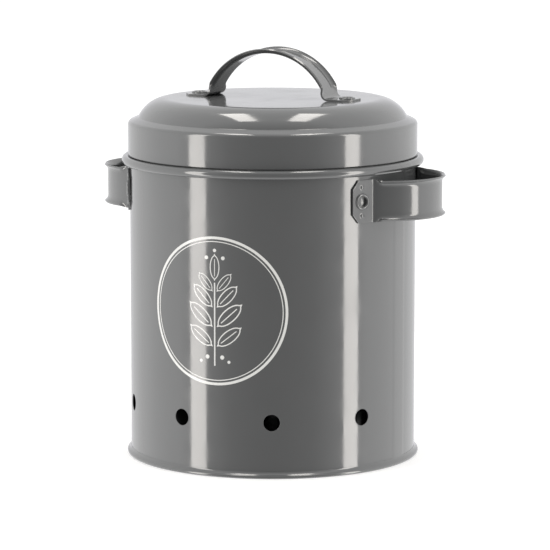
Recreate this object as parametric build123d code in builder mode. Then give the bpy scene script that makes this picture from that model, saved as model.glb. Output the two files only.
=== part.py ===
from build123d import *
from math import acos, asin, cos, degrees, hypot, radians, sin, sqrt
import os

# A round storage canister of sheet steel with a lift-off lid, in millimetres.
# The origin is the centre of the foot on the table, +Z is up, and the handles lie along X.
# The front of the canister faces -Y.

# Sheet and clearances
sheet = 0.6                  # steel of the wall, the base and the lid
strap_sheet = 1.0            # thicker steel of the three handles
seat_gap = 0.3               # between the lid and the rolled rim that carries it
neck_clearance = 0.4         # between the lid's neck and the wall, on the radius
seam_fit = 0.1               # between the wall and the folded edge of the base
rivet_fit = 0.1              # between a rivet and the holes it fills
tab_fit = 0.1                # between a side tab and the wall it lies on

# Canister
wall_radius = 82.5           # outside of the wall
rim_height = 173.8           # crown of the rolled rim above the table
bead_radius = 2.6            # outside radius of the rim's rolled tube
curl_gap = 0.4               # between the end of the roll and the wall

# Base, with the folded seam that forms the foot
foot_projection = 2.2        # how far the seam stands out from the wall
foot_height = 4.2            # top of the seam
foot_shoulder = 3.0          # where the seam's round face meets its slope
foot_bulge = 0.7             # how far the seam's face is rounded
foot_top_land = 0.3          # narrow flat along the top of the seam
panel_height = 3.0           # underside of the bottom panel

# Vent holes, in one row that leaves the wall's vertical seam free
vent_radius = 4.7
vent_height = 31.7
vent_pitch = 38.0            # degrees
vent_count = 9

# Lid
skirt_projection = 0.95      # how far the skirt stands out from the wall
skirt_height = 19.8          # bottom of the skirt to its upper corner
skirt_corner = 1.2           # round of the skirt's lower edge, on which the lid rests
ledge_corner = 2.6           # round of the skirt's upper corner
ledge_width = 6.0            # skirt to the foot of the dome
ledge_rise = 2.6             # how far the ledge climbs towards the dome
dome_rise = 10.7             # foot of the dome to the flat top
dome_radius = 18.5           # round of the dome's shoulder
neck_depth = 12.0            # how far the neck reaches below the skirt

# Side handles
side_tab_length = 14.1       # foot of the arch to the end of the tab
side_rivet_inset = 6.5       # rivet to the end of the tab
side_arch_radius = 34.6      # outer face of the strap
side_arch_rise = 20.2        # wall to the strap's outer face
side_bend_radius = 1.6       # inside round where the arch turns into a tab
side_handle_drop = 19.5      # crown of the rim to the centre line of the handles
side_strap_width = 22.8
side_tab_width = 24.2

# Lid handle
lid_arch_radius = 39.2       # outer face of the strap
lid_arch_rise = 26.7         # lid's flat top to the strap's outer face
lid_bend_radius = 3.4        # inside round where the arch turns into a tab
lid_tab_length = 15.6        # foot of the arch to the end of the tab
lid_rivet_inset = 5.8        # rivet to the end of the tab
lid_strap_width = 21.4
lid_tab_width = 22.0

# Straps
lip_radius = 3.8             # round of the outward flare along both edges of a strap
lip_turn = 60.0              # degrees that the flare turns through
bend_length = 4.0            # plain stretch between the tab and the lipped arch
tab_clip_length = 4.0        # clipped corners, along the strap
tab_clip_width = 5.0         # and across it

# Tubular rivets
shank_radius = 3.6
flange_radius = 4.7
flange_height = 0.9
flange_round = 0.5
bore_radius = 2.9
bore_depth = 2.8
head_height = 1.0            # the rivet's flat head on the inside

touching = 0.001             # two points closer than this are one

wall_inside = wall_radius - sheet
foot_radius = wall_radius + foot_projection
bead_center_radius = wall_inside + bead_radius
bead_center_height = rim_height - bead_radius
skirt_radius = wall_radius + skirt_projection

os.makedirs("parts", exist_ok=True)


def finish(part, name):
    part.label = name
    export_step(part, "parts/" + name + ".step")


def side_plane(angle, radius, height):
    """A plane that touches a cylinder of this radius, facing outwards, with its Y along +Z."""
    outward = Vector(cos(radians(angle)), sin(radians(angle)), 0)
    across = Vector(-sin(radians(angle)), cos(radians(angle)), 0)
    return Plane(outward * radius + Vector(0, 0, height), x_dir=across, z_dir=outward)


def strap_section(face_radius, width):
    """The strap's cross-section: flat, with both long edges flared outwards."""
    flat = width / 2 - (lip_radius + strap_sheet) * sin(radians(lip_turn))
    with BuildLine() as outline:
        Line((face_radius - strap_sheet, 0), (face_radius - strap_sheet, flat))
        under = CenterArc((face_radius + lip_radius, flat), lip_radius + strap_sheet, 180, -lip_turn)
        over = CenterArc((face_radius + lip_radius, flat), lip_radius, 180 - lip_turn, lip_turn)
        Line(under @ 1, over @ 0)
        Line((face_radius, flat), (face_radius, 0))
        mirror(about=Plane.XZ)
    make_face(outline.edges())


def arch_wedge(center_x, center_y, half_turn, middle):
    """Clears the slice of an arched strap that lies within half_turn of its middle."""
    far = 2 * wall_radius
    left = radians(middle + half_turn)
    right = radians(middle - half_turn)
    with BuildLine() as outline:
        Polyline(
            (center_x, center_y),
            (center_x + far * cos(left), center_y + far * sin(left)),
            (center_x + far * cos(radians(middle)), center_y + far * sin(radians(middle))),
            (center_x + far * cos(right), center_y + far * sin(right)),
            close=True,
        )
    make_face(outline.edges(), mode=Mode.SUBTRACT)


def clipped_corners(turn, width):
    """The two triangles that a tab's end loses, with the end at X = 0 and the tab on its far side."""
    for edge in (1, -1):
        with BuildLine() as outline:
            Polyline(
                (0, edge * width / 2),
                (-turn * tab_clip_length, edge * width / 2),
                (0, edge * (width / 2 - tab_clip_width)),
                close=True,
            )
        make_face(outline.edges())


def on_both(vertices, circle_radius, arch_center, arch_radius):
    """Those corners of a handle's plan that lie on a circle about the canister's axis and on the arch."""
    found = []
    for vertex in vertices:
        reach = hypot(vertex.X, vertex.Y)
        arch_reach = hypot(vertex.X - arch_center, vertex.Y)
        if abs(reach - circle_radius) < touching and abs(arch_reach - arch_radius) < touching:
            found.append(vertex)
    return found


# Side handles in plan: where the arch meets the tabs, and where tabs and rivets end up
side_height = rim_height - side_handle_drop
tab_inside = wall_radius + tab_fit
tab_face_radius = tab_inside + strap_sheet
side_arch_center = wall_radius + side_arch_rise - side_arch_radius
side_foot_x = (tab_face_radius**2 - side_arch_radius**2 + side_arch_center**2) / (2 * side_arch_center)
side_foot_turn = degrees(acos((side_foot_x - side_arch_center) / side_arch_radius))
side_foot_angle = degrees(acos(side_foot_x / tab_face_radius))
side_tab_angle = side_foot_angle + degrees(side_tab_length / tab_face_radius)
side_rivet_angle = side_tab_angle - degrees(side_rivet_inset / tab_face_radius)
side_lip_turn = side_foot_turn - degrees(bend_length / side_arch_radius)

# Where each rivet of the side handles stands: its angle about Z
side_directions = {"right": 0.0, "left": 180.0}
side_rivets = {}
for side, direction in side_directions.items():
    turn = -1 if side == "right" else 1
    side_rivets[side + "_front_rivet"] = direction + turn * side_rivet_angle
    side_rivets[side + "_rear_rivet"] = direction - turn * side_rivet_angle

# Canister wall: a tube whose upper edge rolls outwards and back to the wall
with BuildPart() as body_shell:
    with BuildSketch(Plane.XZ):
        with Locations((bead_center_radius, bead_center_height)):
            Circle(bead_radius)
            Circle(bead_radius - sheet, mode=Mode.SUBTRACT)
        with Locations((wall_radius + curl_gap, bead_center_height)):
            Rectangle(2 * bead_radius, 2 * bead_radius, align=(Align.MAX, Align.MAX), mode=Mode.SUBTRACT)
        with Locations((wall_inside, sheet)):
            Rectangle(sheet, bead_center_height - sheet, align=(Align.MIN, Align.MIN))
    revolve(axis=Axis.Z)
    for index in range(vent_count):
        vent_angle = -90 + vent_pitch * (index - (vent_count - 1) / 2) - 90
        with BuildSketch(side_plane(vent_angle, wall_radius, vent_height)):
            Circle(vent_radius)
        extrude(amount=wall_radius / 4, both=True, mode=Mode.SUBTRACT)
    for angle in side_rivets.values():
        with BuildSketch(side_plane(angle, wall_radius, side_height)):
            Circle(shank_radius + rivet_fit)
        extrude(amount=wall_radius / 4, both=True, mode=Mode.SUBTRACT)
finish(body_shell.part, "body_shell")

# Base: a raised panel whose edge folds down, under and up around the wall
with BuildPart() as base_pan:
    groove_inside = wall_inside - seam_fit
    groove_outside = wall_radius + seam_fit
    with BuildSketch(Plane.XZ):
        with BuildLine():
            Polyline(
                (foot_radius - foot_bulge, 0),
                (groove_inside - sheet, 0),
                (groove_inside - sheet, panel_height),
                (0, panel_height),
                (0, panel_height + sheet),
                (groove_inside, panel_height + sheet),
                (groove_inside, sheet),
                (groove_outside, sheet),
                (groove_outside, foot_height),
                (groove_outside + foot_top_land, foot_height),
                (foot_radius - foot_bulge, foot_shoulder),
            )
            ThreePointArc(
                (foot_radius - foot_bulge, foot_shoulder),
                (foot_radius, foot_shoulder / 2),
                (foot_radius - foot_bulge, 0),
            )
        make_face()
    revolve(axis=Axis.Z)
finish(base_pan.part, "base_pan")

# Lid: its skirt's rounded lower edge rests on the inner shoulder of the rim
seat_radius = skirt_radius - skirt_corner
seat_reach = skirt_corner + bead_radius + seat_gap
seat_drop = sqrt(seat_reach**2 - (bead_center_radius - seat_radius) ** 2)
skirt_bottom = bead_center_height + seat_drop - skirt_corner
neck_radius = wall_inside - neck_clearance
ledge_height = skirt_bottom + skirt_height
dome_foot_radius = skirt_radius - ledge_width
dome_foot_height = ledge_height + ledge_rise
lid_top = dome_foot_height + dome_rise
dome_center_height = lid_top - dome_radius
dome_center_radius = dome_foot_radius - sqrt(dome_radius**2 - (dome_foot_height - dome_center_height) ** 2)
shoulder_turn = degrees(asin((dome_foot_height - dome_center_height) / dome_radius))

# Lid handle in side view: where the arch meets the tabs, and where tabs and rivets end up
lid_arch_center = lid_top + lid_arch_rise - lid_arch_radius
lid_foot_turn = degrees(acos((lid_top + strap_sheet - lid_arch_center) / lid_arch_radius))
lid_lip_turn = lid_foot_turn - degrees(bend_length / lid_arch_radius)
lid_tab_reach = lid_arch_radius * sin(radians(lid_foot_turn)) + lid_tab_length
lid_rivet_reach = lid_tab_reach - lid_rivet_inset

with BuildPart() as lid_shell:
    with BuildSketch(Plane.XZ):
        with BuildLine() as lid_face:
            Line((0, lid_top), (dome_center_radius, lid_top))
            CenterArc((dome_center_radius, dome_center_height), dome_radius, 90, shoulder_turn - 90)
            FilletPolyline(
                (dome_foot_radius, dome_foot_height),
                (skirt_radius, ledge_height),
                (skirt_radius, skirt_bottom + skirt_corner),
                radius=ledge_corner,
            )
            CenterArc((seat_radius, skirt_bottom + skirt_corner), skirt_corner, 0, -90)
            Line((seat_radius, skirt_bottom), (neck_radius, skirt_bottom))
            Line((neck_radius, skirt_bottom), (neck_radius, skirt_bottom - neck_depth))
            offset(amount=sheet, side=Side.RIGHT)
        make_face()
    revolve(axis=Axis.Z)
    for reach in (lid_rivet_reach, -lid_rivet_reach):
        with BuildSketch(Plane.XY.offset(lid_top)):
            with Locations((reach, 0)):
                Circle(shank_radius + rivet_fit)
        extrude(amount=-2 * sheet, mode=Mode.SUBTRACT)
finish(lid_shell.part, "lid_shell")

# Side handles: an arched strap between two tabs that follow the wall
far_x = 2 * tab_face_radius * cos(radians(side_tab_angle))
far_y = 2 * tab_face_radius * sin(radians(side_tab_angle))
for side, direction in side_directions.items():
    outward = Vector(cos(radians(direction)), sin(radians(direction)), 0)
    handle_plane = Plane((0, 0, side_height), x_dir=outward, z_dir=(0, 0, 1))
    arch_center = outward * side_arch_center + Vector(0, 0, side_height)
    with BuildPart() as side_handle:
        with BuildSketch(handle_plane) as tabs:
            Circle(tab_face_radius)
            with BuildLine():
                Polyline((0, 0), (far_x, far_y), (far_x, -far_y), close=True)
            make_face(mode=Mode.INTERSECT)
            with Locations((side_arch_center, 0)):
                Circle(side_arch_radius)
            Circle(tab_inside, mode=Mode.SUBTRACT)
            with Locations((side_arch_center, 0)):
                Circle(side_arch_radius - strap_sheet, mode=Mode.SUBTRACT)
            arch_wedge(side_arch_center, 0, side_lip_turn, 0)
            bends = on_both(tabs.vertices(), tab_face_radius, side_arch_center, side_arch_radius)
            fillet(bends, side_bend_radius)
            inner_radius = side_arch_radius - strap_sheet
            bends = on_both(tabs.vertices(), tab_inside, side_arch_center, inner_radius)
            fillet(bends, side_bend_radius + strap_sheet)
        extrude(amount=side_tab_width / 2, both=True)
        for turn in (1, -1):
            with BuildSketch(side_plane(direction + turn * side_tab_angle, wall_radius, side_height)):
                clipped_corners(turn, side_tab_width)
            extrude(amount=2 * strap_sheet, both=True, mode=Mode.SUBTRACT)
            with BuildSketch(side_plane(direction + turn * side_rivet_angle, wall_radius, side_height)):
                Circle(shank_radius + rivet_fit)
            extrude(amount=2 * strap_sheet, both=True, mode=Mode.SUBTRACT)
        start = radians(direction - side_lip_turn)
        along = (cos(start), sin(start), 0)
        with BuildSketch(Plane(arch_center, x_dir=along, z_dir=(sin(start), -cos(start), 0))):
            strap_section(side_arch_radius, side_strap_width)
        revolve(axis=Axis(arch_center, (0, 0, 1)), revolution_arc=2 * side_lip_turn)
    finish(side_handle.part, side + "_handle")

# Lid handle: an arched strap between two flat tabs
with BuildPart() as lid_handle:
    with BuildSketch(Plane.XZ) as tabs:
        with Locations((0, lid_arch_center)):
            Circle(lid_arch_radius)
        with Locations((0, lid_top)):
            below = (Align.CENTER, Align.MAX)
            Rectangle(2 * lid_tab_reach, 2 * lid_arch_radius, align=below, mode=Mode.SUBTRACT)
            Rectangle(2 * lid_tab_reach, strap_sheet, align=(Align.CENTER, Align.MIN))
        with Locations((0, lid_arch_center)):
            Circle(lid_arch_radius - strap_sheet, mode=Mode.SUBTRACT)
        arch_wedge(0, lid_arch_center, lid_lip_turn, 90)
        tab_top = tabs.vertices().filter_by(lambda v: abs(v.Z - lid_top - strap_sheet) < touching)
        inner_tab_ends = tab_top.sort_by(lambda v: abs(v.X))[0:2]
        fillet(inner_tab_ends, lid_bend_radius)
        tab_bottom = tabs.vertices().filter_by(lambda v: abs(v.Z - lid_top) < touching)
        fillet(tab_bottom.sort_by(lambda v: abs(v.X))[0:2], lid_bend_radius + strap_sheet)
    extrude(amount=lid_tab_width / 2, both=True)
    for turn in (1, -1):
        with BuildSketch(Plane((turn * lid_tab_reach, 0, lid_top))):
            clipped_corners(turn, lid_tab_width)
        extrude(amount=2 * strap_sheet, both=True, mode=Mode.SUBTRACT)
        with BuildSketch(Plane((turn * lid_rivet_reach, 0, lid_top))):
            Circle(shank_radius + rivet_fit)
        extrude(amount=2 * strap_sheet, both=True, mode=Mode.SUBTRACT)
    start = radians(90 - lid_lip_turn)
    along = (cos(start), 0, sin(start))
    arch_center = Vector(0, 0, lid_arch_center)
    with BuildSketch(Plane(arch_center, x_dir=along, z_dir=(-sin(start), 0, cos(start)))):
        strap_section(lid_arch_radius, lid_strap_width)
    revolve(axis=Axis(arch_center, (0, -1, 0)), revolution_arc=2 * lid_lip_turn)
finish(lid_handle.part, "lid_handle")

# Tubular rivets: a rolled flange outside, a shank through strap and sheet, a flat head inside
side_grip = tab_face_radius - sqrt(wall_inside**2 - flange_radius**2)
rivets = {}
for name, angle in side_rivets.items():
    rivets[name] = (side_plane(angle, tab_face_radius, side_height), side_grip)
for name, reach in (("lid_right_rivet", lid_rivet_reach), ("lid_left_rivet", -lid_rivet_reach)):
    rivets[name] = (Plane((reach, 0, lid_top + strap_sheet)), strap_sheet + sheet)
for name, (seat, grip) in rivets.items():
    with BuildPart() as rivet:
        with BuildSketch(seat):
            Circle(flange_radius)
        flange = extrude(amount=flange_height)
        rings = flange.edges().filter_by(GeomType.CIRCLE)
        fillet(rings.sort_by(Axis(seat.origin, seat.z_dir))[-1], flange_round)
        with BuildSketch(seat):
            Circle(shank_radius)
        extrude(amount=-grip)
        with BuildSketch(seat.offset(-grip)):
            Circle(flange_radius)
        extrude(amount=-head_height)
        with BuildSketch(seat.offset(flange_height)):
            Circle(bore_radius)
        extrude(amount=-bore_depth, mode=Mode.SUBTRACT)
    finish(rivet.part, name)
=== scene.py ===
# %% [markdown]
# # A grey steel tin with a lift-off lid
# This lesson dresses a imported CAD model. The CAD holds the sizes and the way the lid moves.
# Here every visible piece is modelled again as clean sheet metal and gets its enamel.
# All lengths are in metres, +Z is up, the handles lie along X and the front faces -Y.

# %% Load the frame
from math import atan2, cos, degrees, hypot, pi, radians, sin, sqrt

import bmesh
import bpy
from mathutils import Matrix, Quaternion, Vector


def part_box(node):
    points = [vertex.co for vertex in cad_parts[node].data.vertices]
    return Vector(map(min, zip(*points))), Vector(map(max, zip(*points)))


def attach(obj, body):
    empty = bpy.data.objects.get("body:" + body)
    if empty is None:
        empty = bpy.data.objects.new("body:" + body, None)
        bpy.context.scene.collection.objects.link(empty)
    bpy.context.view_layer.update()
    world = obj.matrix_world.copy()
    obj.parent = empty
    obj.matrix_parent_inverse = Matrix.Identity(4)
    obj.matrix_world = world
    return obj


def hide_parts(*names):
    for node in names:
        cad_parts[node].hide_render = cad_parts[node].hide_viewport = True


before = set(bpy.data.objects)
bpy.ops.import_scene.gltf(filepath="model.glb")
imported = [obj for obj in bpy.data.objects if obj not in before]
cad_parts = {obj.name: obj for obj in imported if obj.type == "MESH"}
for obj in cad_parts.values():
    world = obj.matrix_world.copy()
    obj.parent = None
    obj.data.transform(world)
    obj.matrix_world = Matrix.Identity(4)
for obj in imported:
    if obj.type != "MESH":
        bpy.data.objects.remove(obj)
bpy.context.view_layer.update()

mm = 0.001

# %% [markdown]
# The main sizes come from the boxes of the CAD nodes, so the visible pieces keep fitting the frame.
# Only what a box can't tell, such as the thickness of the sheet, is written here.

# %% Sizes
sheet = 0.6 * mm
strap_sheet = 1.0 * mm
bead = 2.6 * mm                  # radius of the rolled rim's round

wall_low, wall_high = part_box("body_shell")
lid_low, lid_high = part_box("lid_shell")
side_low, side_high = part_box("right_handle")
base_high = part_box("base_pan")[1]
top_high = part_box("lid_handle")[1]

bead_radius = wall_high.x - bead
bead_height = wall_high.z - bead
wall_inside = bead_radius - bead
wall_face = wall_inside + sheet
lid_top = lid_high.z
print("wall", round(wall_face / mm, 2), "bead", round(bead_radius / mm, 2), round(bead_height / mm, 2))

# %% [markdown]
# ## The camera
# It looks at the tin from a little to the right of its front and slightly from above.
# A long lens from almost two metres away keeps the sides of the tin nearly upright.

# %% Camera
view_turn = radians(24.4)        # how far the camera stands round from the front, towards +X
view_rise = radians(8.509)
view_distance = 1.89795
view_target = Vector((1.191 * mm, 0.54 * mm, 103.015 * mm))

backwards = Vector((sin(view_turn) * cos(view_rise), -cos(view_turn) * cos(view_rise), sin(view_rise)))
bpy.ops.object.camera_add(location=view_target + backwards * view_distance)
camera = bpy.context.object
camera.rotation_euler = backwards.to_track_quat("Z", "Y").to_euler()
camera.data.sensor_width = 36
camera.data.lens = 214.03
camera.data.clip_end = 50
bpy.context.scene.camera = camera
print("camera at", [round(value, 3) for value in camera.location])

# %% [markdown]
# ## Helpers for modelling by hand
# Blender's operators act on whatever is selected, so each helper starts from a clean selection.
# Vertices are then picked by their place, as a hand would pick them on the screen.

# %% Selecting
near = 0.001 * mm                # two points closer than this are one


def clean_start():
    if bpy.context.object and bpy.context.object.mode != "OBJECT":
        bpy.ops.object.mode_set(mode="OBJECT")
    bpy.ops.object.select_all(action="DESELECT")


def pick(piece):
    clean_start()
    bpy.context.view_layer.objects.active = piece
    piece.select_set(True)


def edit(piece):
    pick(piece)
    bpy.ops.object.mode_set(mode="EDIT")
    bpy.ops.mesh.select_mode(type="VERT")
    bpy.ops.mesh.select_all(action="DESELECT")


def done():
    bpy.ops.object.mode_set(mode="OBJECT")


def select_where(test):
    """In edit mode, selects the vertices whose place passes the test, with all that lies between them."""
    mesh = bmesh.from_edit_mesh(bpy.context.edit_object.data)
    for vertex in mesh.verts:
        vertex.select = bool(test(vertex.co))
    mesh.select_flush_mode()
    bmesh.update_edit_mesh(bpy.context.edit_object.data)


# %% [markdown]
# Modifiers are applied at once, so the mesh is what you see. Place and turn go into it too,
# because every finished piece sits at the origin.

# %% Applying and settling
def apply_modifier(piece, kind, **settings):
    """Adds one modifier, sets it and applies it at once."""
    pick(piece)
    modifier = piece.modifiers.new(kind.lower(), kind)
    for key, value in settings.items():
        setattr(modifier, key, value)
    bpy.ops.object.modifier_apply(modifier=modifier.name)


def settle(piece):
    """Moves the object's place and turn into its mesh, so that the object itself sits at the origin."""
    pick(piece)
    bpy.ops.object.transform_apply(location=True, rotation=True, scale=True)


def drop(piece):
    pick(piece)
    bpy.ops.object.delete()


def triangles(piece):
    return sum(len(face.vertices) - 2 for face in piece.data.polygons)


# %% [markdown]
# Real sheet metal has no knife-sharp edges, and its broad faces look flat. A small Bevel on the
# sharp edges gives the first, and Weighted Normal, which lets large faces rule, the second.

# %% Edges and normals
def merge_and_face_out(piece):
    edit(piece)
    bpy.ops.mesh.select_all(action="SELECT")
    bpy.ops.mesh.remove_doubles(threshold=near)
    bpy.ops.mesh.normals_make_consistent(inside=False)
    done()


def face_away(piece, test):
    """Turns all faces of an open sheet the way that the test asks of one of them."""
    edit(piece)
    bpy.ops.mesh.select_all(action="SELECT")
    bpy.ops.mesh.normals_make_consistent(inside=False)
    mesh = bmesh.from_edit_mesh(piece.data)
    mesh.faces.ensure_lookup_table()
    first = mesh.faces[0]
    if not test(first.calc_center_median(), first.normal):
        bpy.ops.mesh.flip_normals()
    done()


def outwards(at, normal):
    """True where a face of an upright round sheet looks away from the axis."""
    return at.x * normal.x + at.y * normal.y > 0


def shade(piece, sharp):
    pick(piece)
    bpy.ops.object.shade_smooth_by_angle(angle=radians(sharp))


def soften(piece, edge, steps, sharp):
    """Rounds the sharp edges a little, then lets the broad faces rule the shading."""
    limit = radians(sharp)
    apply_modifier(piece, "BEVEL", width=edge, segments=steps, limit_method="ANGLE", angle_limit=limit)
    shade(piece, sharp)
    apply_modifier(piece, "WEIGHTED_NORMAL", keep_sharp=True, weight=60)


# %% [markdown]
# A round part is turned as on a potter's wheel. Its edge ring is extruded point by point along
# an outline of (radius, height), and every new ring is scaled about the axis to its own radius.
# The outline itself is put together from arcs and straight lines.

# %% Outlines
def arc(center, radius, start, end, steps):
    """Points on an arc about a centre, from one angle to another in degrees."""
    turns = [radians(start + (end - start) * step / steps) for step in range(steps + 1)]
    return [(center[0] + radius * cos(turn), center[1] + radius * sin(turn)) for turn in turns]


def line_on(outline, end, steps):
    """Adds evenly spaced points from the outline's last point to a new end."""
    start = outline[-1]
    for step in range(1, steps + 1):
        part = step / steps
        outline.append((start[0] + (end[0] - start[0]) * part, start[1] + (end[1] - start[1]) * part))


print("a quarter arc", [(round(x, 2), round(y, 2)) for x, y in arc((0, 0), 1, 0, 90, 3)])

# %% Turning
round_steps = 256
hub = 1.0 * mm                   # where turned sheets end near the axis and get a cap


def extrude_rings(outline):
    """In edit mode, with one ring selected at the outline's first point, extrudes it along the rest."""
    for (radius, height), (next_radius, next_height) in zip(outline, outline[1:]):
        bpy.ops.mesh.extrude_edges_move(TRANSFORM_OT_translate={"value": (0, 0, next_height - height)})
        grow = next_radius / radius
        bpy.ops.transform.resize(value=(grow, grow, 1), center_override=(0, 0, next_height))


def turn(name, outline, steps=round_steps, closed=False):
    """Turns an outline about Z. A closed outline starts and ends near the axis, where a face caps it."""
    clean_start()
    bpy.ops.mesh.primitive_circle_add(vertices=steps, radius=outline[0][0], location=(0, 0, 0))
    piece = bpy.context.object
    piece.name = name
    edit(piece)
    bpy.ops.mesh.select_all(action="SELECT")
    bpy.ops.transform.translate(value=(0, 0, outline[0][1]))
    extrude_rings(outline)
    if closed:
        bpy.ops.mesh.select_all(action="DESELECT")
        bpy.ops.mesh.select_non_manifold()
        bpy.ops.mesh.edge_face_add()
    done()
    return piece

# %% [markdown]
# ## The canister wall
# The real wall is punched flat, rolled into a tube and welded, and its top edge is curled outwards.
# The same order works here. A flat grid gets its holes first, where circles are easy to place,
# and a Simple Deform bend of one full turn then rolls it exactly round.

# %% Flat blank
seam_turn = radians(89.2)        # the weld, measured from the front towards +X
blank_width = 2 * pi * wall_face
blank_height = bead_height - wall_low.z
blank_rows = 84
column = blank_width / round_steps
row = blank_height / blank_rows

clean_start()
bpy.ops.mesh.primitive_grid_add(x_subdivisions=round_steps, y_subdivisions=blank_rows, size=1)
wall = bpy.context.object
wall.name = "wall"
wall.scale = (blank_width, blank_height, 1)
wall.location = (0, 0, wall_low.z + blank_height / 2)
wall.rotation_euler = (pi / 2, 0, 0)
settle(wall)
print("blank", round(blank_width / mm, 1), "x", round(blank_height / mm, 1), "mm")
print("cells", round(column / mm, 2), "x", round(row / mm, 2), "mm")

# %% [markdown]
# Each hole starts as a square patch of the grid that is cut out. A circle takes its place,
# and Bridge Edge Loops fills the space between with clean quads, so no long slivers spoil the gloss.
# A few cuts across that bridge let it follow the round of the wall later.

# %% Punching
def on_blank(turn_angle):
    """Where a direction, measured from the front towards +X, lies along the flat blank."""
    away = (turn_angle - seam_turn) % (2 * pi)
    return away * wall_face - blank_width / 2


def punch(across, height, radius, cells, cuts):
    """Cuts a round hole into the blank, in a square patch of cells by cells."""
    left = round((across + blank_width / 2) / column - cells / 2) * column - blank_width / 2
    low = round((height - wall_low.z) / row - cells / 2) * row + wall_low.z
    right = left + cells * column
    high = low + cells * row
    margin = row / 4

    def within(at, more):
        return left - more < at.x < right + more and low - more < at.z < high + more

    bpy.ops.mesh.select_mode(type="VERT")
    select_where(lambda at: within(at, -margin))
    bpy.ops.mesh.delete(type="VERT")
    bpy.ops.mesh.primitive_circle_add(
        vertices=4 * cells, radius=radius, location=(across, 0, height), rotation=(pi / 2, pi / 4, 0)
    )
    mesh = bmesh.from_edit_mesh(bpy.context.edit_object.data)
    rings = set()
    for vertex in mesh.verts:
        on_patch_edge = within(vertex.co, margin) and not within(vertex.co, -margin)
        if vertex.select or on_patch_edge:
            rings.add(vertex)
    loops = [each for each in mesh.edges if len(each.link_faces) < 2 and rings.issuperset(each.verts)]
    bpy.ops.mesh.select_mode(type="EDGE")
    bpy.ops.mesh.select_all(action="DESELECT")
    for each in loops:
        each.select = True
    bmesh.update_edit_mesh(bpy.context.edit_object.data)
    bpy.ops.mesh.bridge_edge_loops(number_cuts=cuts, interpolation="LINEAR")
    bpy.ops.mesh.select_mode(type="VERT")


# %% [markdown]
# Nine air holes run round the wall near the foot, spaced for a row centred under the left handle.
# Each side handle needs two more holes for its rivets, whose places come from the CAD nodes.

# %% Holes in the wall
vent_radius = 4.7 * mm
vent_height = 31.7 * mm
vent_pitch = radians(38)
vent_count = 9
vents_middle = -pi / 2
rivet_hole = 3.7 * mm
rivet_names = ["right_front_rivet", "right_rear_rivet", "left_front_rivet", "left_rear_rivet"]


def middle(node):
    low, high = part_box(node)
    return (low + high) / 2


edit(wall)
for index in range(vent_count):
    vent_turn = vents_middle + vent_pitch * (index - (vent_count - 1) / 2)
    punch(on_blank(vent_turn), vent_height, vent_radius, cells=10, cuts=4)
for name in rivet_names:
    spot = middle(name)
    punch(on_blank(atan2(spot.y, spot.x) + pi / 2), spot.z, rivet_hole, cells=6, cuts=0)
done()
print("holes", vent_count, "+", len(rivet_names))

# %% [markdown]
# The strip's ends overlap under the right handle. A narrow band there stands a hair proud,
# and its edges catch a thin line of light and shade from top to bottom.
# Bisect cuts the blank along the band's edges, and the vertices between them are moved out.

# %% Weld seam
band_width = 12.3 * mm
band_rise = 0.12 * mm
band_edge = 0.35 * mm
blank_end = blank_width / 2
band_start = blank_end - band_width

edit(wall)
for across in (band_start, band_start + band_edge, blank_end - 2 * band_edge):
    bpy.ops.mesh.select_all(action="SELECT")
    bpy.ops.mesh.bisect(plane_co=(across, 0, 0), plane_no=(1, 0, 0))
select_where(lambda at: band_start + band_edge / 2 < at.x < blank_end - band_edge)
bpy.ops.transform.translate(value=(0, -band_rise, 0))
done()
print("seam band", round(band_start / mm, 1), "to", round(blank_end / mm, 1), "mm")

# %% [markdown]
# Rolling brings the two ends of the blank together, and Merge by Distance welds them.
# The rim is an arc of the same outline tools, extruded from the wall's top edge, and the
# Solidify modifier then gives the whole sheet its thickness, inwards from the outer face.

# %% Roll and curl
weld_gap = 0.2 * mm              # ends of the blank closer than this are welded
curl_end = -150                  # where the rolled edge stops, just short of the wall, in degrees
curl_steps = 30

apply_modifier(wall, "SIMPLE_DEFORM", deform_method="BEND", deform_axis="Z", angle=2 * pi)
wall.location = (0, -wall_face, 0)
settle(wall)
wall.rotation_euler = (0, 0, seam_turn - pi)
settle(wall)
edit(wall)
bpy.ops.mesh.select_all(action="SELECT")
bpy.ops.mesh.remove_doubles(threshold=weld_gap)
select_where(lambda at: at.z > bead_height - near)
extrude_rings(arc((bead_radius, bead_height), bead - sheet, 180, curl_end, curl_steps))
done()
face_away(wall, outwards)
apply_modifier(wall, "SOLIDIFY", thickness=sheet, offset=-1, use_even_offset=True)
soften(wall, edge=0.16 * mm, steps=2, sharp=50)
print("wall triangles", triangles(wall))

# %% [markdown]
# ## The base
# A pressed steel pan closes the canister. Its edge is folded round the wall into a thick seam,
# the foot that the tin stands on. One closed outline is turned: along the raised panel to its
# edge, round under the foot, up the outside of the seam, down into the groove that holds the
# wall, and back to the middle on top of the panel.

# %% Base outline
groove = 0.05 * mm
foot = base_high.x
seam_top = base_high.z
panel = 3.0 * mm
panel_edge = wall_inside - sheet
panel_flat = 3 * mm              # how far from its edge the panel's rings come closer together
panel_round = 0.4 * mm
fold_round = 0.5 * mm
foot_round = 1.15 * mm
foot_turn_end = 38               # where the foot's round goes over into the leaning seam, in degrees
seam_lean, seam_climb = 1.7, 1.15      # how fast the seam leans in, and how fast it climbs

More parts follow.
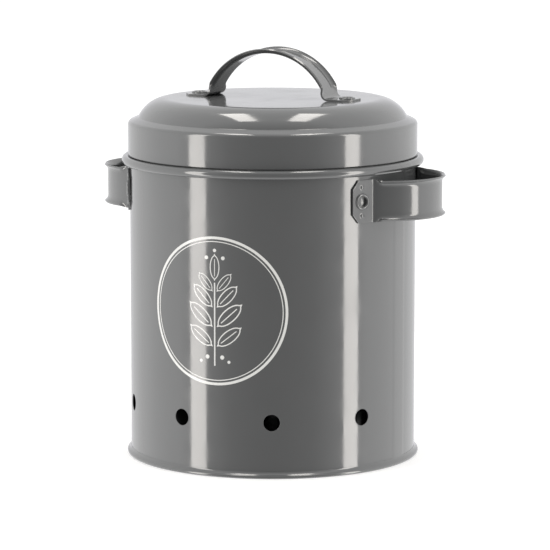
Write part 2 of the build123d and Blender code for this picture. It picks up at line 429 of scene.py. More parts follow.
base_line = [(hub, panel)]
line_on(base_line, (panel_edge - panel_flat, panel), 12)
line_on(base_line, (panel_edge - panel_round, panel), 3)
base_line += arc((panel_edge - panel_round, panel - panel_round), panel_round, 90, 0, 4)[1:]
line_on(base_line, (panel_edge, fold_round), 2)
base_line += arc((panel_edge + fold_round, fold_round), fold_round, 180, 270, 5)[1:]
line_on(base_line, (foot - foot_round, 0), 2)
base_line += arc((foot - foot_round, foot_round), foot_round, -90, foot_turn_end, 14)[1:]
lean_start = base_line[-1]
lean_end = (wall_face + 2 * groove, seam_top)
lean_steps = 8
for step in range(1, lean_steps + 1):
    part = step / lean_steps
    base_line.append((
        lean_start[0] + (lean_end[0] - lean_start[0]) * (1 - (1 - part) ** seam_lean),
        lean_start[1] + (lean_end[1] - lean_start[1]) * part**seam_climb,
    ))
base_line.append((wall_face + groove, seam_top - 2 * groove))
line_on(base_line, (wall_face + groove, sheet), 2)
line_on(base_line, (wall_inside - groove, sheet), 1)
line_on(base_line, (wall_inside - groove, panel + sheet), 2)
line_on(base_line, (wall_inside - panel_flat, panel + sheet), 3)
line_on(base_line, (hub, panel + sheet), 12)
print("foot radius", round(foot / mm, 2), "points", len(base_line))

# %% Base
base = turn("base", base_line, closed=True)
merge_and_face_out(base)
shade(base, sharp=35)
apply_modifier(base, "WEIGHTED_NORMAL", keep_sharp=True, weight=50)
print("base triangles", triangles(base))

# %% [markdown]
# ## The lid
# The lid is drawn from one disc of steel: a nearly flat top, a round shoulder, a narrow ledge
# and an upright skirt, whose lower edge folds in to a neck that guides it inside the canister.
# Its outer face is turned first, then Solidify adds the thickness on the inside.

# %% Lid sizes
skirt = lid_high.x
skirt_height = 19.8 * mm
skirt_corner = 1.2 * mm
ledge_corner = 2.6 * mm
ledge_width = 6 * mm
ledge_rise = 2.6 * mm
dome_rise = 10.7 * mm
dome_radius = 18.5 * mm
dish = 0.15 * mm                 # the top sinks this much in its middle
dish_radius = 57 * mm
neck_gap = 0.4 * mm
neck = wall_inside - neck_gap
neck_round = 0.3 * mm
neck_edge = 0.4 * mm
neck_taper = 0.05 * mm

ledge_height = lid_top - dome_rise - ledge_rise
skirt_bottom = ledge_height - skirt_height
dome_foot = (skirt - ledge_width, ledge_height + ledge_rise)
dome_center_height = lid_top - dome_radius
dome_center_radius = dome_foot[0] - sqrt(dome_radius**2 - (dome_foot[1] - dome_center_height) ** 2)
print("flat top ends at", round(dome_center_radius / mm, 2), "dome ends at", round(dome_foot[0] / mm, 2))

# %% [markdown]
# The top is drawn ring by ring, because a slight dish in it bends its reflections as on real
# pressed sheet. The ledge's outer corner is a fillet between a sloping and an upright line.

# %% Lid outline
top_steps = 24
lid_line = []
for step in range(top_steps + 1):
    radius = hub + (dome_center_radius - hub) * step / top_steps
    sunk = dish * (1 - min(1, radius / dish_radius) ** 2) ** 2
    lid_line.append((radius, lid_top - sunk))
shoulder_end = degrees(atan2(dome_foot[1] - dome_center_height, dome_foot[0] - dome_center_radius))
lid_line += arc((dome_center_radius, dome_center_height), dome_radius, 90, shoulder_end, 36)[1:]

ledge_slope = atan2(-ledge_rise, ledge_width)
corner_half = (pi / 2 + ledge_slope) / 2
corner_cut = ledge_corner * sin(corner_half) / cos(corner_half)
ledge_end = (skirt - corner_cut * cos(ledge_slope), ledge_height - corner_cut * sin(ledge_slope))
line_on(lid_line, ledge_end, 5)
corner_center = (skirt - ledge_corner, ledge_height - corner_cut)
lid_line += arc(corner_center, ledge_corner, 90 + degrees(ledge_slope), 0, 12)[1:]

line_on(lid_line, (skirt, skirt_bottom + skirt_corner), 10)
lid_line += arc((skirt - skirt_corner, skirt_bottom + skirt_corner), skirt_corner, 0, -90, 8)[1:]
line_on(lid_line, (neck + neck_round, skirt_bottom), 1)
lid_line += arc((neck + neck_round, skirt_bottom - neck_round), neck_round, 90, 180, 4)[1:]
line_on(lid_line, (neck, lid_low.z + neck_edge), 5)
lid_line += [(neck - neck_taper, lid_low.z)]
print("lid outline", len(lid_line), "points, corner", [round(value / mm, 2) for value in corner_center])

# %% [markdown]
# A drilled hole is a Boolean difference with a cylinder. The cylinder is turned a few degrees
# about its own axis, because corners that fall exactly on the sheet's lines leave broken edges.

# %% Drilling
off_grid = Quaternion((0, 0, 1), radians(3.1))
drill_steps = 48
drill_depth = 8 * mm


def drill(piece, spots, radius):
    """Cuts round holes through a piece, each along a direction through a point."""
    for point, direction in spots:
        clean_start()
        turned = Vector(direction).to_track_quat("Z", "Y") @ off_grid
        bpy.ops.mesh.primitive_cylinder_add(
            vertices=drill_steps, radius=radius, depth=drill_depth, location=point, rotation=turned.to_euler()
        )
        cutter = bpy.context.object
        apply_modifier(piece, "BOOLEAN", object=cutter, operation="DIFFERENCE", solver="EXACT")
        drop(cutter)


# %% Lid
lid_rivet_names = ["lid_left_rivet", "lid_right_rivet"]
lid_spots = []
for name in lid_rivet_names:
    spot = middle(name)
    lid_spots.append((Vector((spot.x, spot.y, lid_top)), (0, 0, 1)))


def lid_outwards(at, normal):
    """True where a face of the lid's outer side looks up, or away from the axis below the top."""
    return normal.z > 0 if at.z > lid_top - mm else outwards(at, normal)


lid = turn("lid", lid_line)
edit(lid)
select_where(lambda at: hypot(at.x, at.y) < hub + near)
bpy.ops.mesh.edge_face_add()
done()
face_away(lid, lid_outwards)
apply_modifier(lid, "SOLIDIFY", thickness=sheet, offset=-1, use_even_offset=True)
drill(lid, lid_spots, rivet_hole)
soften(lid, edge=0.12 * mm, steps=2, sharp=40)
print("lid triangles", triangles(lid))

# %% [markdown]
# ## The handles
# Each handle is a strap of thicker steel. Both of its long edges are flared outwards into lips,
# the middle is bent into an arch, and the ends stay flat as tabs with clipped corners.
# A plane is cut by Bisect into the rows and columns that this needs, closer together where
# the lips turn up and where the strap bends.

# %% Strap blank
lip_radius = 3.8 * mm
lip_turn = radians(60)
lip_height = lip_radius * (1 - cos(lip_turn))
lip_steps = 8
lip_run = 5 * mm                 # the stretch behind the bend over which the lips rise
clip_length = 4 * mm
clip_width = 5 * mm


def strap_columns(length, tab, bend):
    """Where a blank is cut across, from one end to the other."""
    half = [0, clip_length / 2, clip_length]
    for start, end, steps in (
        (clip_length, tab, 12),
        (tab, tab + bend, 6),
        (tab + bend, tab + bend + lip_run, 8),
        (tab + bend + lip_run, length / 2, 34),
    ):
        half += [start + (end - start) * step / steps for step in range(1, steps + 1)]
    return half + [length - place for place in reversed(half[:-1])]


def cut_blank(name, columns, rows):
    """A flat strap in the XZ plane, cut into cells at the given places and left in edit mode."""
    clean_start()
    bpy.ops.mesh.primitive_plane_add(size=1)
    blank = bpy.context.object
    blank.name = name
    blank.scale = (columns[-1], 2 * rows[-1], 1)
    blank.location = (columns[-1] / 2, 0, 0)
    blank.rotation_euler = (pi / 2, 0, 0)
    settle(blank)
    edit(blank)
    cuts = [((place, 0, 0), (1, 0, 0)) for place in columns[1:-1]]
    cuts += [((0, 0, place), (0, 0, 1)) for place in [-row for row in rows[1:-1]] + rows[:-1]]
    for place, across in cuts:
        bpy.ops.mesh.select_all(action="SELECT")
        bpy.ops.mesh.bisect(plane_co=place, plane_no=across)
    return blank


print("lips stand out", round(lip_height / mm, 2), "mm")

# %% [markdown]
# The lips are shaped on the flat blank. Each outer row is moved to its place on a round, and
# over the tabs every column is flattened again, set to the tab's width and clipped at its end.

# %% Lips and tabs
on_row = 5 * near                # how close a vertex has to be to its row or column


def eased(part):
    part = min(1, max(0, part))
    return part * part * (3 - 2 * part)


def flare_lips(flat, lips):
    """In edit mode, turns the rows outside the flat face up into lips."""
    for side in (1, -1):
        for step, place in enumerate(lips, 1):
            turned = lip_turn * step / lip_steps
            lift = lip_radius * (1 - cos(turned))
            target = flat + lip_radius * sin(turned)
            select_where(lambda at: abs(at.z - side * place) < on_row)
            bpy.ops.transform.translate(value=(0, lift, side * (target - place)))


def flatten_tabs(columns, lips_start, widening, tab_half_width):
    """In edit mode, takes the lips away over the tabs and clips the tabs' corners."""
    for place in columns:
        from_end = min(place, columns[-1] - place)
        risen = eased((from_end - lips_start) / lip_run)
        if risen == 1:
            continue
        wider = 1 + (widening - 1) * (1 - risen)
        if from_end < clip_length:
            wider *= 1 - clip_width / tab_half_width * (1 - from_end / clip_length)
        select_where(lambda at: abs(at.x - place) < on_row)
        bpy.ops.transform.resize(value=(1, risen, wider), center_override=(place, 0, 0))


# %% [markdown]
# A Curve modifier bends the flat strap along the handle's path, as a tool bends the real one,
# so one way of working serves all three handles. A path is given from one tab's end to the
# middle of the arch, and a mirrored copy of it makes the other half.

# %% Bending a strap
def follow_path(blank, path):
    """Bends a flat strap that lies along X along a path of (x, y) points."""
    route = bpy.data.curves.new(blank.name + "_route", "CURVE")
    route.dimensions = "2D"
    spline = route.splines.new("POLY")
    spline.points.add(len(path) - 1)
    for point, (x, y) in zip(spline.points, path):
        point.co = (x, y, 0, 1)
    guide = bpy.data.objects.new(blank.name + "_route", route)
    bpy.context.scene.collection.objects.link(guide)
    apply_modifier(blank, "CURVE", object=guide, deform_axis="POS_X")
    drop(guide)


def strap(name, half_path, mirrored, tab, bend, half_width, tab_half_width):
    """Bends a lipped strap with two tabs along a path given from one tab's end to the arch's middle."""
    path = half_path + [mirrored(point) for point in reversed(half_path[:-1])]
    length = sum(hypot(b[0] - a[0], b[1] - a[1]) for a, b in zip(path, path[1:]))
    flat = half_width - (lip_radius + strap_sheet) * sin(lip_turn)
    face_half = flat + lip_radius * sin(lip_turn)

    columns = strap_columns(length, tab, bend)
    rows = [flat * step / 8 for step in range(9)]
    lips = [flat + lip_radius * lip_turn * step / lip_steps for step in range(1, lip_steps + 1)]
    blank = cut_blank(name, columns, rows + lips)
    flare_lips(flat, lips)
    flatten_tabs(columns, tab + bend, tab_half_width / face_half, tab_half_width)
    done()
    face_away(blank, lambda at, normal: normal.y > 0)
    follow_path(blank, path)
    print(name, "length", round(length / mm, 1), "cells", len(blank.data.polygons))
    return blank


def thicken(blank):
    apply_modifier(blank, "SOLIDIFY", thickness=strap_sheet, offset=-1, use_even_offset=True)


# %% [markdown]
# Seen from above, a side handle's path starts with a straight tab that is closest to the wall at
# its rivet. A small bend leads over into the arch, which is part of a large circle.
# The bend's centre lies where it is just as far from the tab's line as from that circle.

# %% Path of the side handles
fine = 0.4 * mm                  # spacing of the points along a path
side_bend = 1.6 * mm
tab_gap = 0.1 * mm                # between a tab and the wall, at its rivet
bend_steps = 10
tab_face = wall_face + tab_gap + strap_sheet
arch_radius = 34.6 * mm
arch_center = side_high.x - lip_height - arch_radius
side_height = (side_low.z + side_high.z) / 2
tab_end = atan2(side_high.y, sqrt(tab_face**2 - side_high.y**2))
tab_turn = atan2(-middle(rivet_names[0]).y, middle(rivet_names[0]).x)
tab_back = tab_face * (tab_end - tab_turn)      # from the rivet to the tab's end

bend_off = tab_face + side_bend
bend_reach = sqrt((arch_radius + side_bend) ** 2 - (bend_off - arch_center * cos(tab_turn)) ** 2)
bend_along = arch_center * sin(tab_turn) - bend_reach
bend_x = bend_off * cos(tab_turn) + bend_along * sin(tab_turn)
bend_y = bend_off * sin(tab_turn) - bend_along * cos(tab_turn)
arch_foot = degrees(atan2(bend_y, bend_x - arch_center))


def arc_length(radius, start, end):
    return abs(radians(end - start)) * radius


def steps_for(length):
    return max(4, round(length / fine))


def on_tab(along):
    """A point of the flat tab's face, along it from its rivet towards the arch."""
    return (
        tab_face * cos(tab_turn) + along * sin(tab_turn),
        tab_face * sin(tab_turn) - along * cos(tab_turn),
    )


tab_length = tab_back + bend_along
side_path = [on_tab(-tab_back)]
line_on(side_path, on_tab(bend_along), steps_for(tab_length))
side_path += arc((bend_x, bend_y), side_bend, degrees(tab_turn) + 180, arch_foot + 180, bend_steps)[1:]
side_arch = arc_length(arch_radius, arch_foot, 0)
side_path += arc((arch_center, 0), arch_radius, arch_foot, 0, steps_for(side_arch))[1:]
print("side path", len(side_path), "points, tab", round(tab_length / mm, 1), "mm")

# %% [markdown]
# The strap gets its thickness and rivet holes, then two small round pips on each tab, which the
# press leaves above and below the rivet. A pip is the cap of a ball, joined on by a Boolean.

# %% Right side strap
right_strap = strap(
    "right_strap", side_path, lambda point: (point[0], -point[1]),
    tab_length, arc_length(side_bend, degrees(tab_turn), arch_foot),
    half_width=11.4 * mm, tab_half_width=12.1 * mm,
)
right_strap.location = (0, 0, side_height)
settle(right_strap)
thicken(right_strap)
side_spots = []
for name in rivet_names[:2]:
    spot = middle(name)
    side_spots.append((spot, (spot.x, spot.y, 0)))
drill(right_strap, side_spots, rivet_hole)
print("right strap", [round(value / mm, 1) for value in right_strap.dimensions])

# %% Pips
pip_radius = 2.2 * mm            # of the ball that each pip is the cap of
pip_height = 0.45 * mm
pip_root = 0.3 * mm              # how deep a pip reaches into the tab
pip_offset = 8 * mm
for spot, outward in side_spots:
    away = Vector(outward).normalized()
    sunk = away * (tab_face + pip_height - pip_radius)
    for side in (1, -1):
        ball = (sunk.x, sunk.y, spot.z + side * pip_offset)
        clean_start()
        bpy.ops.mesh.primitive_uv_sphere_add(segments=32, ring_count=24, radius=pip_radius, location=ball)
        pip = bpy.context.object
        settle(pip)
        edit(pip)
        bpy.ops.mesh.select_all(action="SELECT")
        bpy.ops.mesh.bisect(
            plane_co=away * (tab_face - pip_root), plane_no=away, use_fill=True, clear_inner=True
        )
        done()
        shade(pip, sharp=60)
        apply_modifier(right_strap, "BOOLEAN", object=pip, operation="UNION", solver="EXACT")
        drop(pip)
soften(right_strap, edge=0.22 * mm, steps=3, sharp=50)
print("right strap triangles", triangles(right_strap))

# %% [markdown]
# The left strap is the right one, copied and turned half round the tin's axis.

# %% Left side strap
def duplicate(piece, name):
    pick(piece)
    bpy.ops.object.duplicate()
    copy = bpy.context.object
    copy.name = name
    return copy


left_strap = duplicate(right_strap, "left_strap")
left_strap.rotation_euler = (0, 0, pi)
settle(left_strap)
print("left strap", [round(value / mm, 1) for value in left_strap.dimensions])

# %% [markdown]
# The lid's handle is the same kind of strap in an upright plane. It is bent flat on the ground
# first, with X along the handle and Y as its height, and then stood up on the lid.

# %% Lid handle
lid_arch_radius = 39.2 * mm
lid_bend = 3.4 * mm
lid_bend_steps = 14
lid_arch_top = top_high.z - lip_height - lid_top
lid_arch_center = lid_arch_top - lid_arch_radius
lid_bend_y = strap_sheet + lid_bend
lid_bend_x = sqrt((lid_arch_radius + lid_bend) ** 2 - (lid_bend_y - lid_arch_center) ** 2)
lid_arch_foot = degrees(atan2(lid_bend_y - lid_arch_center, lid_bend_x))
lid_tab = top_high.x - lid_bend_x

lid_path = [(-top_high.x, strap_sheet)]
line_on(lid_path, (-lid_bend_x, strap_sheet), steps_for(lid_tab))
lid_path += arc((-lid_bend_x, lid_bend_y), lid_bend, -90, -lid_arch_foot, lid_bend_steps)[1:]
lid_arch = arc_length(lid_arch_radius, 180 - lid_arch_foot, 90)
lid_path += arc((0, lid_arch_center), lid_arch_radius, 180 - lid_arch_foot, 90, steps_for(lid_arch))[1:]

lid_strap = strap(
    "lid_strap", lid_path, lambda point: (-point[0], point[1]),
    lid_tab, arc_length(lid_bend, -90, -lid_arch_foot),
    half_width=10.7 * mm, tab_half_width=11 * mm,
)
lid_strap.rotation_euler = (pi / 2, 0, 0)
lid_strap.location = (0, 0, lid_top)
settle(lid_strap)
thicken(lid_strap)
drill(lid_strap, lid_spots, rivet_hole)
soften(lid_strap, edge=0.22 * mm, steps=3, sharp=50)
print("lid strap", [round(value / mm, 1) for value in lid_strap.dimensions])

# %% [markdown]
# ## The rivets
# Tubular rivets hold the straps. Outside, the tube's end is rolled over into a rounded ring with
# a deep bore in its middle. Inside, a flat head lies against the sheet.
# One rivet is turned for the side handles and one for the lid, and both are copied.

# %% Turning a rivet
flange = 4.7 * mm
flange_height = 0.9 * mm
roll = 0.9 * mm
shank = 3.6 * mm
bore = flange - 2 * roll
bore_depth = 2.8 * mm
bore_round = 0.35 * mm
head_height = 1.0 * mm
rivet_hub = 0.3 * mm
rivet_steps = 64


def rivet(name, grip):
    """A tubular rivet about Z that holds a stack as thick as its grip, whose upper face is at height 0."""
    bottom = flange_height - bore_depth
    half_head = head_height / 2
    outline = [(rivet_hub, bottom), (bore - 2 * bore_round, bottom)]
    outline += arc((bore - bore_round, bottom + bore_round), bore_round, -90, 0, 4)[1:]
    outline += arc((flange - roll, flange_height - roll), roll, 180, 0, 20)
    outline += [(shank, 0), (shank, -grip), (flange - half_head, -grip)]
    outline += arc((flange - half_head, -grip - half_head), half_head, 80, -90, 6)
    outline += [(rivet_hub, -grip - head_height)]
    piece = turn(name, outline, steps=rivet_steps, closed=True)
    merge_and_face_out(piece)
    shade(piece, sharp=40)
    return piece


side_rivet = rivet("side_rivet", grip=tab_face - sqrt(wall_inside**2 - flange**2))
lid_rivet = rivet("lid_rivet", grip=strap_sheet + sheet)
print("rivet triangles", triangles(side_rivet))

# %% Placing the rivets
rivets = []
for name in rivet_names:
    spot = middle(name)
    outward = atan2(spot.y, spot.x)
    piece = duplicate(side_rivet, "tube_" + name)
    piece.rotation_euler = (0, pi / 2, outward)
    piece.location = (tab_face * cos(outward), tab_face * sin(outward), spot.z)
    settle(piece)
    rivets.append((piece, name, "canister"))
for name in lid_rivet_names:
    spot = middle(name)
    piece = duplicate(lid_rivet, "tube_" + name)
    piece.location = (spot.x, spot.y, lid_top + strap_sheet)
    settle(piece)
    rivets.append((piece, name, "lid"))
drop(side_rivet)
drop(lid_rivet)
print("rivets", [piece.name for piece, node, body in rivets])

# %% [markdown]
# ## The print
# The front carries a white screen print: two rings round a sprig with paired leaves and berries.
# It is drawn flat, from circles whose faces are inset to thin outlines.

# %% Print helpers
print_pieces = []


def outline_only(thickness):
    """In edit mode, leaves a thin rim of a filled flat shape."""
    bpy.ops.mesh.select_all(action="SELECT")
    bpy.ops.mesh.inset(thickness=thickness)
    bpy.ops.mesh.delete(type="FACE")


def disc(name, steps, radius, x=0, y=0):
    clean_start()
    bpy.ops.mesh.primitive_circle_add(vertices=steps, radius=radius, fill_type="NGON", location=(x, y, 0))
    piece = bpy.context.object
    piece.name = name
    return piece


def thin_line(name, length, width, cells):
    """A thin straight line from the origin along X."""
    clean_start()
    bpy.ops.mesh.primitive_grid_add(x_subdivisions=cells, y_subdivisions=1, size=1, location=(0.5, 0, 0))
    piece = bpy.context.object
    piece.name = name
    settle(piece)
    piece.scale = (length, width, 1)
    settle(piece)
    return piece


def put(piece, x, y, heading=0, size=1):
    """Places a flat shape on the drawing."""
    piece.location = (x, y, 0)
    piece.rotation_euler = (0, 0, heading)
    piece.scale = (size, size, size)
    settle(piece)
    print_pieces.append(piece)


# %% Rings
ring_radius = 42 * mm
ring_steps = 132
for name, radius, line in (
    ("outer_ring", ring_radius, 1.5 * mm),
    ("inner_ring", ring_radius - 2.6 * mm, 0.5 * mm),
):
    ring = disc(name, ring_steps, radius)
    edit(ring)
    outline_only(line)
    done()
    put(ring, 0, 0)
print("rings", len(print_pieces))

# %% [markdown]
# One leaf is drawn: a circle squeezed to an ellipse, its two ends pulled out to points, its
# face taken away inside a thin rim, and a vein added. All other leaves are copies of it.

# %% Leaf
leaf_length = 14 * mm
leaf_half = leaf_length / 2
leaf_slim = 0.44                 # width over length before the tips are pulled out
leaf_point = 0.16                # how far a tip is pulled out, over half the length
leaf_line = 0.55 * mm

leaf = disc("leaf", 28, leaf_half)
edit(leaf)
bpy.ops.mesh.select_all(action="SELECT")
bpy.ops.transform.resize(value=(1, leaf_slim, 1))
for tip in (1, -1):
    select_where(lambda at: tip * at.x > leaf_half - near)
    bpy.ops.transform.translate(value=(tip * leaf_point * leaf_half, 0, 0))
outline_only(leaf_line)
bpy.ops.mesh.select_all(action="SELECT")
bpy.ops.transform.translate(value=((1 + leaf_point) * leaf_half, 0, 0))
done()
vein = thin_line("vein", length=0.72 * leaf_length, width=0.45 * mm, cells=8)
vein.location = (0.2 * leaf_length, 0, 0)
settle(vein)
pick(leaf)
vein.select_set(True)
bpy.ops.object.join()
print("leaf faces", len(leaf.data.polygons))

# %% Sprig
stem_foot = -31 * mm
stem_length = 47 * mm
leaf_offset = 1.2 * mm           # of a leaf's foot from the middle of the stem
leaf_pairs = ((-20, 1.15, 38), (-9, 1.25, 42), (2, 1.1, 46), (11, 0.85, 50))      # height, size, lift
berries = (                      # x, y and radius
    (0, 34.2, 1.0), (5, 30, 1.1), (-5, 30, 1.1), (4.5, -26, 1.2), (-4.5, -26, 1.2),
    (8.5, -28.5, 0.9), (-8.5, -28.5, 0.9),
)

put(thin_line("stem", stem_length, width=0.8 * mm, cells=24), 0, stem_foot, pi / 2)
for height, size, lift in leaf_pairs:
    for side in (1, -1):
        heading = pi / 2 - side * radians(90 - lift)
        put(duplicate(leaf, "leaf_copy"), side * leaf_offset, height * mm, heading, size)
put(duplicate(leaf, "top_leaf"), 0, 17 * mm, pi / 2, 0.95)
for x, y, radius in berries:
    berry = disc("berry", 20, radius * mm, x * mm, y * mm)
    settle(berry)
    print_pieces.append(berry)
drop(leaf)
print("print shapes", len(print_pieces))

# %% [markdown]
# The shapes become one piece, the film of ink gets its few hundredths of a millimetre, and
# Simple Deform bends it round the wall, sunk a little so that no gap shows under it.

# %% Front print
ink = 0.04 * mm
print_radius = wall_face + ink / 4
print_height = 94 * mm
print_turn = radians(1.3)

pick(print_pieces[0])
for piece in print_pieces:
    piece.select_set(True)
bpy.ops.object.join()
printed = bpy.context.object
printed.name = "front_print"
printed.rotation_euler = (pi / 2, 0, 0)
settle(printed)
apply_modifier(printed, "SOLIDIFY", thickness=ink, offset=0)
bend_angle = 2 * ring_radius / print_radius
apply_modifier(printed, "SIMPLE_DEFORM", deform_method="BEND", deform_axis="Z", angle=bend_angle)
printed.location = (0, -print_radius, 0)
settle(printed)
printed.rotation_euler = (0, 0, print_turn)
printed.location = (0, 0, print_height)
settle(printed)
merge_and_face_out(printed)
print("print faces", len(printed.data.polygons))

# %% [markdown]
# ## Enamel
# The whole tin is sprayed with grey enamel, which dries to a dense and very glossy film.
# One node group makes what such a film really shows up close: a fine orange-peel ripple, a slow
# wave of the sheet below, a little mottle in the colour and uneven gloss.
# Its noises read Object coordinates, so they stay in place when the lid moves.

# %% Group sockets
surface = bpy.data.node_groups.new("enamel_surface", "ShaderNodeTree")
for name, kind, value in (
    ("Color", "NodeSocketColor", (0.1, 0.1, 0.1, 1)),
    ("Mottle", "NodeSocketFloat", 0.03),
    ("Roughness", "NodeSocketFloat", 0.05),
    ("Peel Depth", "NodeSocketFloat", 0.002 * mm),
    ("Wave Depth", "NodeSocketFloat", 0.01 * mm),
):
    socket = surface.interface.new_socket(name=name, in_out="INPUT", socket_type=kind)
    socket.default_value = value
for name, kind in (
    ("Color", "NodeSocketColor"), ("Roughness", "NodeSocketFloat"), ("Normal", "NodeSocketVector"),
):
    surface.interface.new_socket(name=name, in_out="OUTPUT", socket_type=kind)

nodes, links = surface.nodes, surface.links
given = nodes.new("NodeGroupInput")
result = nodes.new("NodeGroupOutput")
place = nodes.new("ShaderNodeTexCoord")


def noise(scale, detail):
    """A noise on Object coordinates, with features about one over scale metres wide."""
    node = nodes.new("ShaderNodeTexNoise")
    node.inputs["Scale"].default_value = scale
    node.inputs["Detail"].default_value = detail
    links.new(place.outputs["Object"], node.inputs["Vector"])
    return node


def math_node(operation, first, second):
    """A Math node on two outputs."""
    node = nodes.new("ShaderNodeMath")
    node.operation = operation
    links.new(first, node.inputs[0])
    links.new(second, node.inputs[1])
    return node


print("group", surface.name, "sockets", len(surface.interface.items_tree))

# %% [markdown]
# One noise drives the mottle of the colour, a few per cent to either side, and the gloss.

# %% Mottle and gloss
mottle = noise(scale=60, detail=3)
spread = nodes.new("ShaderNodeMapRange")
spread.inputs["To Min"].default_value = -1
links.new(mottle.outputs["Fac"], spread.inputs["Value"])
amount = math_node("MULTIPLY_ADD", spread.outputs["Result"], given.outputs["Mottle"])
amount.inputs[2].default_value = 1
shaded = nodes.new("ShaderNodeVectorMath")
shaded.operation = "SCALE"
links.new(given.outputs["Color"], shaded.inputs[0])
links.new(amount.outputs[0], shaded.inputs["Scale"])
links.new(shaded.outputs[0], result.inputs["Color"])

uneven = math_node("MULTIPLY", given.outputs["Roughness"], mottle.outputs["Fac"])
links.new(uneven.outputs[0], result.inputs["Roughness"])
print("so far", len(nodes), "nodes")

# %% [markdown]
# Two more noises are heights in metres, a slow one and a fine one. Their sum goes into one Bump
# node, which makes the edges of the reflected lights waver as they do on sprayed sheet.

# %% Wave and peel
wave = noise(scale=90, detail=0.5)
peel = noise(scale=480, detail=1)
wave_height = math_node("MULTIPLY", wave.outputs["Fac"], given.outputs["Wave Depth"])
peel_height = math_node("MULTIPLY", peel.outputs["Fac"], given.outputs["Peel Depth"])
both = math_node("ADD", wave_height.outputs[0], peel_height.outputs[0])
bump = nodes.new("ShaderNodeBump")
bump.inputs["Distance"].default_value = 1
links.new(both.outputs[0], bump.inputs["Height"])
links.new(bump.outputs["Normal"], result.inputs["Normal"])
print("group", surface.name, "with", len(nodes), "nodes")

# %% [markdown]
# Each material holds its own Principled shader, with a high IOR for the hard reflections of
# enamel, and places the group with its own values. The rivets' small rolled ends have no wave,
# and the ink is rougher and nearly white.

# %% Enamel materials
enamel_ior = 1.9


def enamel_material(name, color, roughness, peel_depth, wave_depth):
    material = bpy.data.materials.new(name)
    material.use_nodes = True
    tree = material.node_tree
    shader = tree.nodes["Principled BSDF"]
    group = tree.nodes.new("ShaderNodeGroup")
    group.node_tree = surface
    group.inputs["Color"].default_value = (*color, 1)
    group.inputs["Roughness"].default_value = roughness
    group.inputs["Peel Depth"].default_value = peel_depth
    group.inputs["Wave Depth"].default_value = wave_depth
    shader.inputs["IOR"].default_value = enamel_ior
    tree.links.new(group.outputs["Color"], shader.inputs["Base Color"])
    tree.links.new(group.outputs["Roughness"], shader.inputs["Roughness"])
    tree.links.new(group.outputs["Normal"], shader.inputs["Normal"])
    return material


def paint(piece, material):
    piece.data.materials.clear()
    piece.data.materials.append(material)


grey = (0.078, 0.08, 0.081)
white = (0.72, 0.72, 0.7)
enamel = enamel_material("grey_enamel", grey, 0.22, 0.003 * mm, 0.03 * mm)
strap_enamel = enamel_material("strap_enamel", grey, 0.22, 0.003 * mm, 0.035 * mm)
rivet_enamel = enamel_material("rivet_enamel", grey, 0.12, 0.002 * mm, 0)
white_ink = enamel_material("white_ink", white, 0.5, 0.002 * mm, 0)
print("materials", [material.name for material in (enamel, strap_enamel, rivet_enamel, white_ink)])

# %% [markdown]
# ## Riding
# Every piece replaces its CAD node and rides on the same body, so the lid lifts off as one.
# The print has no node of its own and rides on the canister.

# %% Riding
for piece, node, body, finish in (
    (wall, "body_shell", "canister", enamel),
    (base, "base_pan", "canister", enamel),
    (right_strap, "right_handle", "canister", strap_enamel),
    (left_strap, "left_handle", "canister", strap_enamel),
    (lid, "lid_shell", "lid", enamel),
    (lid_strap, "lid_handle", "lid", strap_enamel),
):
    paint(piece, finish)
    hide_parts(node)
    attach(piece, body)
for piece, node, body in rivets:
    paint(piece, rivet_enamel)
    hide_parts(node)
    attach(piece, body)
paint(printed, white_ink)
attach(printed, "canister")

# %% [markdown]
# ## Studio
# Gloss shows what stands around it. Two tall strip lights stand left and right of the camera,
# and their reflections run down the tin. Two panels hang above it and show on the lid's shoulder.

# %% Lamps
warm = (1.0, 0.965, 0.92)
to_right = Vector((cos(view_turn), sin(view_turn), 0))
away_from_camera = Vector((-sin(view_turn), cos(view_turn), 0))


def around(turned, distance, height):
    """A place at an angle from the camera's own direction, seen from the tin, to its right."""
    heading = view_turn + radians(turned)
    return Vector((sin(heading) * distance, -cos(heading) * distance, height))


def area_light(name, place, width, height, radiance):
    """A flat lamp of a given radiance that the camera doesn't see."""
    bpy.ops.object.light_add(type="AREA", location=place)
    lamp = bpy.context.object
    lamp.name = name
    lamp.data.shape = "RECTANGLE"
    lamp.data.size = width
    lamp.data.size_y = height
    lamp.data.energy = radiance * pi * width * height
    lamp.data.color = warm
    lamp.visible_camera = False
    return lamp


# %% Strip lights
strip_distance = 1.2
strip_low = -0.84
strip_high = 0.95
strip_radiance = 4.4
for name, start, end in (("left_strip", -67, -53), ("right_strip", 57, 70)):
    place = around((start + end) / 2, strip_distance, (strip_low + strip_high) / 2)
    width = 2 * strip_distance * sin(radians((end - start) / 2))
    lamp = area_light(name, place, width, strip_high - strip_low, strip_radiance)
    lamp.rotation_euler = (place - Vector((0, 0, place.z))).to_track_quat("Z", "Y").to_euler()
    print(name, "width", round(width, 3))

# %% Top panels
panel_height = 1.5
panel_size = (0.26, 0.88)
panel_aside = 0.34
panel_behind = 0.07
panel_radiance = 5.5
for name, side in (("left_panel", -1), ("right_panel", 1)):
    place = to_right * side * panel_aside + away_from_camera * panel_behind + Vector((0, 0, panel_height))
    lamp = area_light(name, place, *panel_size, panel_radiance)
    lamp.rotation_euler = (0, 0, view_turn)

# %% [markdown]
# The room is part of the light. Behind the tin its walls are bright and behind the camera they
# are dim, so the tin's front is darker than its sides. A colour ramp over the direction makes
# that, and the ceiling is a little dimmer than the walls. The camera itself sees plain white.

# %% World
behind_camera = (0.3, 0.3, 0.3, 1)
behind_tin = (0.97, 0.97, 1.0, 1)
between = ((0.09, 0.46), (0.17, 0.72), (0.24, 0.92), (0.42, 1.4), (0.75, 1.42), (0.9, 1.25))
ceiling_start = 0.1
ceiling_level = 0.75

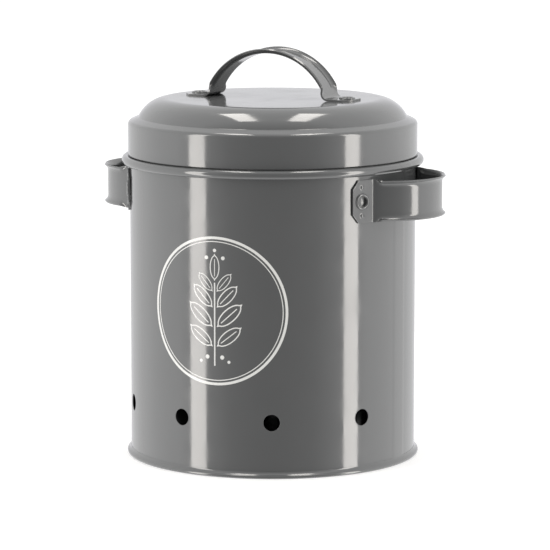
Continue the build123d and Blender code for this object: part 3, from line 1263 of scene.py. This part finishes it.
world = bpy.data.worlds.new("studio")
bpy.context.scene.world = world
world.use_nodes = True
tree = world.node_tree
background = tree.nodes["Background"]
direction = tree.nodes.new("ShaderNodeTexCoord")
facing = tree.nodes.new("ShaderNodeVectorMath")
facing.operation = "DOT_PRODUCT"
facing.inputs[1].default_value = away_from_camera
tree.links.new(direction.outputs["Generated"], facing.inputs[0])
fraction = tree.nodes.new("ShaderNodeMapRange")
fraction.inputs["From Min"].default_value = -1
tree.links.new(facing.outputs["Value"], fraction.inputs["Value"])
glow = tree.nodes.new("ShaderNodeValToRGB")
stops = glow.color_ramp.elements
stops[0].color = behind_camera
stops[1].color = behind_tin
for position, level in between:
    stops.new(position).color = (level, level, level, 1)
tree.links.new(fraction.outputs["Result"], glow.inputs["Fac"])
print("room has", len(stops), "stops")

# %% Ceiling and backdrop
height = tree.nodes.new("ShaderNodeSeparateXYZ")
tree.links.new(direction.outputs["Generated"], height.inputs["Vector"])
ceiling = tree.nodes.new("ShaderNodeMapRange")
ceiling.inputs["From Min"].default_value = ceiling_start
ceiling.inputs["To Min"].default_value = 1.0
ceiling.inputs["To Max"].default_value = ceiling_level
tree.links.new(height.outputs["Z"], ceiling.inputs["Value"])
dimmed = tree.nodes.new("ShaderNodeVectorMath")
dimmed.operation = "SCALE"
tree.links.new(glow.outputs["Color"], dimmed.inputs[0])
tree.links.new(ceiling.outputs["Result"], dimmed.inputs["Scale"])
rays = tree.nodes.new("ShaderNodeLightPath")
seen = tree.nodes.new("ShaderNodeMix")
seen.data_type = "RGBA"
seen.inputs["B"].default_value = (1, 1, 1, 1)
tree.links.new(rays.outputs["Is Camera Ray"], seen.inputs["Factor"])
tree.links.new(dimmed.outputs[0], seen.inputs["A"])
tree.links.new(seen.outputs["Result"], background.inputs["Color"])
print("world nodes", len(tree.nodes))

# %% [markdown]
# A wide pale floor carries the tin. A little emission for camera rays alone lifts it to the
# white of the backdrop, while the tin's own shadow still falls on it. The strip lights reach
# below the floor, so it is hidden from reflections and from the lamps' shadows.

# %% Floor
floor_size = 30
floor_lift = 0.25
clean_start()
bpy.ops.mesh.primitive_plane_add(size=floor_size, location=(0, 0, 0))
floor = bpy.context.object
floor.name = "floor"
floor.visible_glossy = False
floor.visible_diffuse = False
floor.visible_shadow = False
floor.visible_transmission = False
pale = bpy.data.materials.new("pale_floor")
pale.use_nodes = True
tree = pale.node_tree
shader = tree.nodes["Principled BSDF"]
shader.inputs["Base Color"].default_value = (0.85, 0.85, 0.85, 1)
shader.inputs["Roughness"].default_value = 0.9
shader.inputs["Specular IOR Level"].default_value = 0.0
shader.inputs["Emission Color"].default_value = (1, 1, 1, 1)
rays = tree.nodes.new("ShaderNodeLightPath")
lift = tree.nodes.new("ShaderNodeMath")
lift.operation = "MULTIPLY"
lift.inputs[1].default_value = floor_lift
tree.links.new(rays.outputs["Is Camera Ray"], lift.inputs[0])
tree.links.new(lift.outputs[0], shader.inputs["Emission Strength"])
paint(floor, pale)
bpy.context.scene.view_settings.view_transform = "Standard"
print("floor", floor_size, "m wide")
